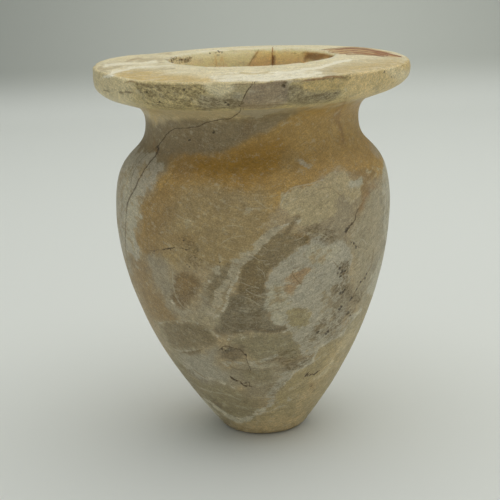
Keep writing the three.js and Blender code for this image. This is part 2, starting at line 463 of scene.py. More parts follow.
BODY_ZONES = [
    ("mauve", 1, 6, [(138, 100), (300, 100), (318, 108), (285, 121), (262, 133), (243, 146), (222, 153),
        (203, 155), (172, 158), (160, 170), (140, 172), (105, 165), (130, 130)]),
    ("straw", 0.9, 4, [(140, 98), (380, 84), (380, 96), (345, 106), (300, 110), (262, 115), (240, 118),
        (205, 118), (170, 121), (150, 121)]),
    ("ash", 0.75, 5, [(232, 104), (292, 102), (286, 112), (262, 118), (242, 118)]),
    ("pearl", 0.75, 5, [(100, 150), (152, 152), (163, 162), (155, 180), (143, 200), (140, 225),
        (143, 250), (139, 270), (110, 270), (95, 200)]),
    ("honey", 1, 4, [(171, 158), (203, 155), (222, 152.5), (243, 145), (262, 133), (285, 120),
        (305, 111), (330, 107), (375, 104), (372, 150), (392, 164), (392, 178), (372, 176), (355, 172),
        (340, 165), (327, 175), (310, 184), (296, 186), (286, 194), (281, 204), (272, 214), (266, 226),
        (262, 240), (247, 253), (236, 262), (214, 263), (190, 260), (165, 263), (148, 258), (140, 238),
        (139, 217), (141, 203), (152, 193), (158, 178), (167, 166)]),
    ("tan", 0.9, 12, [(172, 196), (215, 186), (262, 190), (272, 206), (262, 240), (240, 264),
        (190, 266), (158, 266), (150, 248)]),
    ("sepia", 0.7, 9, [(141, 204), (156, 188), (170, 186), (172, 215), (163, 250), (150, 260),
        (140, 240)]),
    ("bark", 0.35, 8, [(170, 158), (203, 155), (222, 153), (222, 166), (196, 176), (176, 178)]),
    ("amber", 0.95, 11, [(196, 161), (220, 155), (245, 147), (266, 136), (280, 140), (284, 152),
        (276, 168), (258, 181), (235, 183), (205, 178)]),
    ("wheat", 0.16, 12, [(300, 128), (350, 124), (362, 142), (350, 160), (318, 165), (296, 150)]),
    ("honey", 0.3, 12, [(290, 120), (340, 112), (362, 122), (362, 150), (335, 160), (300, 150)]),
    ("khaki", 0.9, 7, [(352, 190), (374, 184), (392, 190), (392, 300), (370, 310), (352, 296),
        (356, 262), (350, 240), (357, 215)]),
    ("sepia", 0.8, 6, [(352, 168), (372, 170), (371, 186), (366, 200), (358, 214), (355, 204),
        (358, 190)]),
    ("bone", 0.95, 2.2, [(281, 203), (288, 191), (295, 186.5), (310, 184), (323, 180), (328, 174.5),
        (338, 168), (345, 172), (352, 177), (359, 176), (361, 182), (358, 191), (352, 200), (345, 210),
        (330, 221), (306, 226), (297, 217), (290, 215), (284, 212)]),
    ("slate", 0.65, 9, [(336, 198), (348, 194), (354, 202), (356, 213), (352, 226), (347, 238),
        (352, 250), (346, 254), (336, 246), (318, 236), (300, 240), (302, 231), (322, 224), (334, 214)]),
    ("pearl", 0.95, 5, [(297, 238), (322, 236), (342, 242), (353, 262), (347, 290), (350, 312),
        (338, 328), (318, 344), (300, 352), (286, 345), (281, 330), (286, 305), (270, 322), (263, 300),
        (270, 276), (285, 258)]),
    ("umber", 1, 3, [(274, 237.5), (255, 250.5), (243, 263), (238, 279), (241, 297), (254, 303),
        (264, 291), (267, 277), (279, 262), (296, 248), (309, 238), (300, 234), (286, 234)]),
    ("tan", 0.5, 6, [(262, 246), (284, 234), (304, 234), (300, 246), (280, 258), (262, 268), (254, 262)]),
    ("taupe", 0.6, 5, [(262, 252), (276, 238), (300, 233), (312, 238), (298, 248), (280, 262),
        (268, 268)]),
    ("gravel", 1, 4, [(223, 308), (237, 297), (255, 302), (265, 292), (267, 316), (281, 326),
        (262, 331), (240, 331), (217, 328)]),
    ("pearl", 0.85, 4, [(270, 282), (277, 268), (290, 256), (308, 249), (330, 246), (340, 256),
        (322, 263), (300, 268), (288, 280), (284, 296), (289, 312), (285, 325), (273, 322), (265, 305)]),
    ("chalk", 0.6, 4, [(270, 290), (278, 284), (284, 296), (287, 310), (282, 321), (272, 318),
        (267, 304)]),
    ("chalk", 0.5, 4, [(306, 250), (322, 243), (336, 246), (334, 256), (318, 262)]),
    ("peach", 0.8, 4.5, [(292.5, 270), (298, 267), (309.5, 266), (313, 270), (304, 278), (299, 284),
        (290, 291), (283.5, 292), (283.5, 284)]),
    ("moss", 0.75, 4, [(288, 301), (294, 305), (304, 307), (312, 312), (310, 323), (304, 331),
        (296, 333), (288, 322), (286, 310)]),
    ("gravel", 0.45, 6, [(318, 292), (345, 284), (352, 300), (338, 326), (318, 344), (304, 344),
        (318, 320)]),
    ("milk", 0.6, 2, [(226, 330), (236, 333), (250, 334), (262, 333), (262, 336), (248, 338),
        (232, 336)]),
    ("olive", 0.9, 5, [(232, 338), (252, 334), (275, 336), (294, 336), (297, 352), (280, 359),
        (256, 359), (246, 351), (238, 345)]),
    ("sepia", 0.75, 5, [(126, 258), (146, 258), (160, 262), (156, 282), (166, 298), (178, 320),
        (160, 322), (148, 318), (136, 295)]),
    ("flint", 0.95, 5, [(146, 256), (162, 258), (172, 272), (173, 292), (182, 308), (196, 306),
        (208, 292), (214, 300), (204, 314), (184, 318), (170, 308), (158, 292), (150, 276)]),
    ("khaki", 0.7, 5, [(196, 313), (212, 308), (224, 314), (218, 326), (214, 334), (200, 328),
        (186, 322)]),
    ("taupe", 1, 6, [(214, 268), (233, 268), (230, 285), (222, 300), (208, 300), (204, 288)]),
    ("taupe", 1, 3.5, [(161, 323.5), (176, 321.5), (200, 323), (214, 328), (214, 345), (200, 349),
        (184, 350.5), (174, 348), (165, 337)]),
    ("flint", 0.9, 7, [(176, 353), (200, 352), (218, 346), (222, 362), (232, 374), (238, 386),
        (222, 390), (204, 384), (190, 372)]),
    ("dove", 0.95, 6, [(182, 354), (207, 353), (216, 366), (226, 380), (214, 382), (198, 376),
        (188, 366)]),
    # Painted shadow: the soft dark under the pocket's upper edge, fading downwards.
    ("soot", 0.65, 3.5, [(220.5, 348), (225, 344.5), (239, 347), (246, 353), (241, 358), (224, 358)]),
    ("olive", 0.85, 6, [(170, 345), (182, 358), (196, 376), (215, 384), (238, 390), (258, 400),
        (262, 414), (248, 424), (222, 424), (195, 395), (170, 365)]),
    ("slate", 0.7, 6, [(248, 360), (282, 362), (300, 364), (291, 371), (284, 382), (272, 398),
        (256, 396), (242, 388), (228, 372), (236, 364)]),
    ("olive", 0.8, 4, [(243, 373), (256, 369), (268, 373), (270, 380), (258, 384), (246, 381)]),
    ("cream", 1, 2.5, [(358, 313), (347, 325), (336, 335), (320, 348), (312, 359), (300, 365),
        (291, 372), (285, 382), (277, 393), (270, 405), (262, 413), (243, 422), (232, 432), (262, 445),
        (310, 430), (350, 380), (385, 310), (375, 290)]),
    ("sand", 0.75, 6, [(352, 336), (344, 352), (330, 372), (316, 392), (302, 409), (296, 404),
        (312, 382), (330, 357), (345, 335)]),
    ("khaki", 0.6, 4, [(372, 296), (366, 312), (350, 334), (338, 342), (345, 325), (358, 308)]),
    # Partly the stone's own sand colour and partly painted glow along the foot.
    ("sand", 0.9, 5, [(240, 424), (262, 421), (290, 416), (302, 411), (296, 436), (262, 442),
        (236, 436)]),
    ("khaki", 0.6, 4, [(157, 325), (164, 327), (170, 342), (180, 356), (176, 360), (166, 348)]),
]

BODY_STROKES = [
    ("slate", 0.6, 0.7, 1.5, [(122, 176), (119.5, 190), (119, 206), (120.5, 228), (124, 252),
        (130, 274)]),
    ("slate", 0.4, 0.6, 1.5, [(128, 170), (124, 186), (122.6, 204), (123, 222), (126, 240)]),
    ("chalk", 0.6, 1.6, 3, [(131, 172), (128, 190), (131, 206), (130, 226), (132, 248)]),
    ("chalk", 0.8, 5, 5, [(386, 168), (390, 190), (390, 214), (386, 240), (381, 264), (374, 290)]),
    ("slate", 0.6, 0.8, 1.5, [(381, 196), (384, 214), (381, 240), (377, 258), (371, 274), (363, 286)]),
    ("slate", 0.5, 0.7, 1.5, [(389, 196), (388.5, 220), (384, 246), (380, 266), (375, 284)]),
    ("bone", 0.7, 1.2, 2, [(364, 172), (370, 167), (376, 170), (372, 176)]),
    ("bark", 0.4, 1.2, 2.5, [(346, 98), (343, 106), (339.5, 112), (338.5, 120), (340, 128)]),
    ("bark", 0.35, 0.8, 2, [(342, 133), (343.5, 140), (342, 146)]),
    ("milk", 0.55, 1.6, 2, [(301, 217), (291, 221), (277, 231), (263, 243), (250, 256), (239, 267),
        (233.5, 284), (229.5, 296), (223, 308), (214, 317)]),
    ("ash", 0.7, 4, 4, [(277, 229), (263, 240), (249, 253), (236, 264), (226, 281), (219, 298),
        (210, 312)]),
    ("milk", 0.35, 1.2, 2, [(216, 266), (208, 280), (203, 294), (195, 306), (182, 311), (174, 304),
        (172, 290)]),
    ("ash", 0.55, 1.5, 3, [(190, 258), (204, 262), (214, 270), (210, 284)]),
    ("soot", 0.9, 1.4, 2, [(250, 326), (256, 329.5), (264, 331), (274, 331.3), (286, 329)]),
    ("soot", 0.5, 1.2, 2.5, [(219, 328), (230, 331), (240, 327)]),
    ("milk", 0.75, 1.8, 2.6, [(362, 309), (353, 318), (346.5, 325), (336, 334.5), (320, 347.5),
        (312, 358.5), (300, 364.5), (291, 371.5), (284.5, 382), (276.5, 392.5), (270, 404)]),
    ("pearl", 0.6, 3, 4, [(349, 318), (332, 332), (316, 345), (300, 359), (287, 368), (279, 382),
        (270, 398)]),
    ("milk", 0.7, 3, 4, [(205, 400), (212, 406), (220, 412.5), (230, 420), (238, 423)]),
    ("milk", 0.6, 3, 4, [(238, 421), (246, 418), (254, 414), (262, 409)]),
    ("ivory", 0.5, 1.6, 2.2, [(317, 378.5), (324, 372.5), (331, 366), (335, 361)]),
    ("ivory", 0.25, 2, 2.5, [(342, 350), (349, 338), (356, 324)]),
    ("soot", 0.9, 0.9, 1.2, [(223.4, 347.6), (227, 346), (230.4, 347)]),
    ("bark", 0.5, 2.2, 3, [(375, 189), (369, 191.5), (364, 198), (361, 205)]),
    ("milk", 0.45, 1, 1.5, [(183, 361), (188, 365), (193, 369)]),
    ("soot", 0.6, 0.9, 1.5, [(193, 369.5), (198, 373), (205, 377.5)]),
    ("soot", 0.55, 0.9, 1.8, [(213, 401), (218, 404.5), (223, 408)]),
    ("milk", 0.25, 0.9, 1.3, [(160, 323), (168, 321.5), (176, 320.5), (186, 320), (196, 322)]),
    ("milk", 0.4, 0.8, 1.3, [(173.5, 348.5), (180, 351), (190, 350.5), (198, 349)]),
    ("umber", 0.7, 0.9, 1.3, [(183, 352.5), (191, 352), (198.5, 351), (201, 350)]),
    ("sepia", 0.8, 1.6, 1.8, [(295, 236), (299, 234.6), (304, 236), (306, 239)]),
    ("bone", 0.7, 1, 1.4, [(284, 234), (292, 231), (300, 230), (308, 233), (314, 231), (322, 233)]),
    ("umber", 0.75, 1.8, 2, [(304, 214), (298, 216), (295, 221), (291, 229), (286, 234)]),
    ("soot", 0.7, 1.2, 2, [(284, 365), (290, 361.5), (296, 358), (304, 355)]),
    ("ash", 0.7, 2, 3, [(250, 367), (262, 365.6), (274, 366)]),
    ("soot", 0.45, 1, 2, [(264, 360), (271, 359.5), (278, 361)]),
    ("pearl", 0.6, 2.4, 3, [(224, 362), (234, 361.5), (246, 362), (262, 360), (276, 356)]),
    ("milk", 0.4, 1.5, 3, [(178, 354), (190, 364), (204, 374), (220, 382), (234, 388)]),
    ("slate", 0.6, 1, 2, [(221, 365), (232, 369), (248, 370), (260, 368)]),
    ("milk", 0.35, 1.2, 2, [(288, 400), (292, 394), (297, 396), (294, 402)]),
    ("milk", 0.35, 0.8, 1.2, [(258, 411), (266, 412), (275, 409), (286, 405)]),
    ("sand", 0.5, 1.2, 2, [(326, 377), (330, 371), (334, 365)]),
    ("milk", 0.4, 1, 1.5, [(250, 333), (242, 338), (228, 336), (217, 332)]),
    ("bone", 0.5, 1, 1.6, [(256, 200), (264, 206), (270, 209)]),
]

BODY_BLOTS = [
    ("tan", 0.35, 4, (290, 160), (13, 9), 0),
    ("sand", 0.4, 3, (145, 170), (6, 9), 0),
    ("umber", 0.35, 3, (275, 295), (3, 11), 8),
    # Paler at the foot: partly the stone's colour and partly painted glow.
    ("sand", 0.35, 6, (262, 425), (24, 9), 0),
    ("yolk", 0.7, 5, (152, 114), (8, 7), 20),
    ("mole", 0.8, 5, (248, 129), (9, 6), -35),
    ("mole", 0.35, 6, (196, 140), (16, 8), 0),
    ("pearl", 0.5, 3, (306, 161), (8, 5), 20),
    ("pearl", 0.3, 5, (240, 196), (9, 6), 0),
    ("bone", 0.45, 4, (190, 222), (8, 5), -10),
    ("bone", 0.35, 3, (228, 226), (9, 2.5), -15),
    ("chalk", 0.95, 2, (355.5, 181), (4.5, 5), 10),
    ("bone", 0.3, 4, (268, 198), (7, 4), 30),
    ("mole", 0.95, 2.5, (184, 290), (13, 18), 10),
    ("sepia", 0.6, 4, (186, 284), (8, 9), 0),
    ("chalk", 0.5, 5, (133, 215), (4, 16), 5),
    ("soot", 0.5, 3, (343, 271), (5, 6), 0),
    ("slate", 0.5, 4, (346, 300), (7, 12), 25),
    ("umber", 0.5, 2, (299, 216), (4, 2), 0),
    ("sepia", 0.5, 5, (183, 240), (12, 7), 0),
    ("mole", 0.5, 1.5, (157.5, 149), (2.2, 4), 10),
    ("bark", 0.5, 2.5, (312, 388), (3, 4), 0),
]

EDGE_ZONES = [
    ("fawn", 1, 3, [(80, 40), (420, 40), (420, 120), (80, 120)]),
    ("ivory", 0.5, 7, [(80, 60), (130, 70), (134, 100), (120, 120), (80, 110)]),
    ("fawn", 0.7, 4, [(134, 84), (170, 84), (204, 84), (204, 108), (170, 112), (140, 106)]),
    ("ivory", 0.9, 3, [(203, 84), (220, 83.5), (236, 84), (233, 91), (222, 95.5), (208, 94)]),
    ("khaki", 0.8, 3, [(200, 97), (225, 96), (243, 94), (242, 108), (225, 109), (200, 109)]),
    ("dusk", 1, 2, [(255, 82.5), (270, 82), (285, 81), (289, 90), (288, 104), (262, 107), (241, 108),
        (243, 100), (248, 90)]),
    ("slate", 0.5, 3, [(236, 84), (254, 83.5), (247, 92), (242, 100), (232, 98)]),
    ("yolk", 0.6, 4, [(300, 82), (320, 79), (345, 76), (348, 86), (338, 91), (318, 94), (303, 93)]),
    ("slate", 0.55, 3, [(288, 88), (303, 90), (320, 94), (340, 91), (338, 100), (315, 104), (289, 106)]),
    ("wheat", 0.9, 9, [(352, 70), (410, 50), (420, 80), (385, 105), (352, 105)]),
]

EDGE_STROKES = [
    ("ivory", 0.6, 4, 5, [(392, 70), (398, 76), (404, 74)]),
    # Painted highlight: the glint along the rim's upper left corner, laid on a whitish worn ridge.
    ("snow", 0.9, 1, 1.2, [(103.5, 77), (107, 75.5), (114, 72.5), (122, 70.5), (130, 69)]),
    ("sepia", 0.7, 0.8, 1, [(126, 82.5), (130, 81), (134, 82)]),
    ("umber", 0.7, 0.5, 0.8, [(104.5, 90.5), (106, 91), (107.5, 91)]),
    ("umber", 0.7, 0.5, 0.8, [(120, 92.3), (126, 92), (131, 92.6)]),
    ("sepia", 0.9, 0.9, 1.2, [(302, 81), (312, 79.6), (322, 78), (330, 76.6), (341, 77)]),
    ("umber", 0.5, 0.8, 1.5, [(378, 86), (377, 90), (376, 93)]),
    ("bone", 0.8, 1, 1.2, [(288, 83.5), (300, 81.8), (312, 80.2)]),
]

TOP_ZONES = [
    ("ivory", 1, 4, [(60, 20), (440, 20), (440, 110), (60, 110)]),
    ("yolk", 1, 4, [(112, 76), (128, 69.5), (150, 71.5), (172, 74.5), (200, 77), (215, 82), (180, 84.5),
        (150, 84), (133, 82)]),
    ("snow", 0.7, 4, [(212, 76), (250, 71), (290, 72), (320, 70), (322, 76), (290, 81), (250, 83),
        (225, 83)]),
    ("cream", 0.9, 7, [(318, 71), (345, 64), (372, 62), (400, 60), (404, 66), (380, 70), (350, 74),
        (330, 76)]),
    ("yolk", 0.75, 7, [(335, 69), (372, 62), (400, 60), (404, 66), (380, 70), (345, 74)]),
    ("bone", 0.7, 4, [(95, 66), (120, 60), (150, 57), (168, 58), (160, 64), (130, 66), (100, 74)]),
    ("ochre", 1, 1.3, [(326, 50.2), (345, 47.2), (362, 47.9), (380, 50.4), (400, 56.2), (392, 57.3),
        (372, 55.5), (356, 54), (340, 53)]),
]

TOP_STROKES = [
    ("snow", 0.45, 0.7, 1.4, [(105, 65.5), (118, 63.8), (128, 63), (142, 64), (156, 62.5)]),
    ("snow", 0.55, 0.8, 1.5, [(112, 72.5), (124, 69), (140, 66.8), (156, 66.5), (172, 65.5)]),
    ("bone", 0.6, 0.6, 0.9, [(130, 73), (142, 70.5), (158, 69.5), (176, 68.5)]),
    ("snow", 0.9, 1.1, 1.4, [(276, 73.5), (290, 72), (305, 69.5), (322, 67), (336, 62.5), (350, 60)]),
    ("snow", 0.8, 0.8, 1.2, [(250, 79), (270, 80), (290, 78.5), (305, 75.5), (320, 73)]),
    ("fawn", 0.7, 0.6, 0.9, [(240, 72.5), (255, 73.5), (268, 72)]),
    ("ivory", 0.8, 0.5, 0.7, [(334, 54.6), (350, 55.2), (366, 56.4), (382, 57.4)]),
    ("bark", 0.3, 0.8, 1, [(126, 61.6), (132, 60), (137, 58.4), (143, 59.4)]),
    ("sepia", 0.6, 0.5, 0.8, [(158, 54), (164, 53.5), (170, 53.5)]),
]

# The bore is painted far paler than the stone outside: painted glow, for the light that the translucent rim
# lets into the mouth.
BORE_ZONES = [
    ("painted_glow_butter", 1, 3, [(150, 30), (350, 30), (350, 80), (150, 80)]),
    ("toffee", 0.75, 1.4, [(248, 66), (253, 58), (258, 51.5), (264, 49.5), (272.5, 49.5), (272.5, 66)]),
    ("toffee", 0.6, 2.5, [(273, 48), (305, 47), (308, 64), (273, 66)]),
    ("honey", 0.6, 2.5, [(305, 49), (334, 50), (336, 58), (320, 60), (305, 60)]),
    ("bark", 0.75, 2.5, [(308, 50), (336, 50), (337, 58), (322, 60), (310, 60)]),
]

BORE_STROKES = [
    ("bark", 0.9, 0.6, 0.9, [(272.8, 48.6), (272, 54), (273, 59), (272.2, 65)]),
    ("sepia", 0.5, 0.6, 1, [(249, 64), (254, 57), (258, 51.5)]),
    ("bark", 0.7, 1.2, 1.5, [(306, 60.5), (305.5, 58.5), (308, 57)]),
    ("toffee", 0.5, 0.5, 1, [(215, 56), (216, 60), (216.5, 64)]),
    ("toffee", 0.4, 0.5, 1, [(222, 56), (223, 60), (223.5, 65)]),
]

# Fine dark dirt in the pores: (density, softness, outline).
EDGE_DIRT = [
    (0.66, 2.5, [(134, 84), (150, 84.5), (170, 85), (203, 84.5), (204, 90), (206, 95), (200, 99),
        (203, 109), (190, 111), (170, 110), (155, 108.5), (144, 105), (140, 96)]),
    (0.7, 2.5, [(196, 98.5), (215, 98), (243, 100), (243, 107), (225, 109), (200, 109)]),
    (1, 2, [(222, 101), (243, 100), (242, 106), (224, 106)]),
    (1, 1.2, [(320, 77), (330, 75.4), (342, 74), (352, 74), (352, 78.6), (342, 79), (330, 79.6),
        (320, 80.4)]),
    (0.8, 1, [(268, 82), (290, 80.6), (318, 77.6), (318, 79.6), (290, 83), (268, 84)]),
    (0.48, 3, [(288, 87), (300, 85), (306, 92), (322, 91), (338, 87), (340, 98), (320, 102), (289, 105)]),
    (0.76, 2.5, [(290, 98), (315, 96), (338, 92), (339, 99), (320, 102.5), (291, 105)]),
    (1, 1.5, [(281, 83), (287, 82), (288, 86), (284, 88)]),
    (0.5, 1.5, [(341, 75), (349, 74), (349, 80), (343, 81)]),
    (0.5, 1.2, [(354, 73), (359, 73), (359, 77), (354, 77)]),
]
TOP_DIRT = [
    (0.95, 1.2, [(165.5, 60.5), (170, 57.5), (177, 57.5), (189, 57), (190, 60), (180, 62), (172, 62.5)]),
]
BORE_DIRT = [
    (1, 1, [(160, 56), (190, 56), (190, 61), (176, 64), (160, 64)]),
    (0.8, 1, [(213, 52), (218, 50.5), (222, 53), (217, 55)]),
    (0.35, 2, [(280, 50), (334, 50), (334, 56), (300, 58)]),
    (0.9, 0.8, [(330, 55.8), (336, 55.8), (336, 58), (331, 58.2)]),
]
BODY_DIRT = [
    (0.5, 2.5, [(178, 236), (190, 240), (201, 256), (198, 266), (188, 268), (184, 250)]),
    (0.4, 4, [(334, 262), (348, 262), (352, 300), (340, 330), (312, 346), (300, 338), (326, 318),
        (336, 292)]),
    (0.75, 2, [(335, 264), (348, 262), (350, 276), (343, 281), (335, 276)]),
    (0.75, 2, [(334, 289), (346, 285), (349, 295), (338, 299)]),
    (0.6, 2, [(350, 297), (358, 288), (362, 293), (353, 304)]),
    (0.5, 3, [(312, 322), (328, 314), (344, 304), (353, 309), (346, 321), (330, 334), (314, 339)]),
    (0.5, 3, [(276, 354), (290, 348), (308, 350), (312, 357), (300, 366), (284, 369), (275, 363)]),
    (0.4, 3, [(266, 386), (280, 378), (289, 380), (284, 390), (272, 399)]),
    (0.6, 3, [(296, 227), (322, 224), (336, 230), (334, 240), (312, 238), (298, 242)]),
    (0.45, 3, [(222, 310), (238, 300), (256, 304), (262, 318), (250, 330), (226, 328)]),
    (0.3, 2, [(221, 346), (246, 352), (243, 361), (224, 361)]),
]

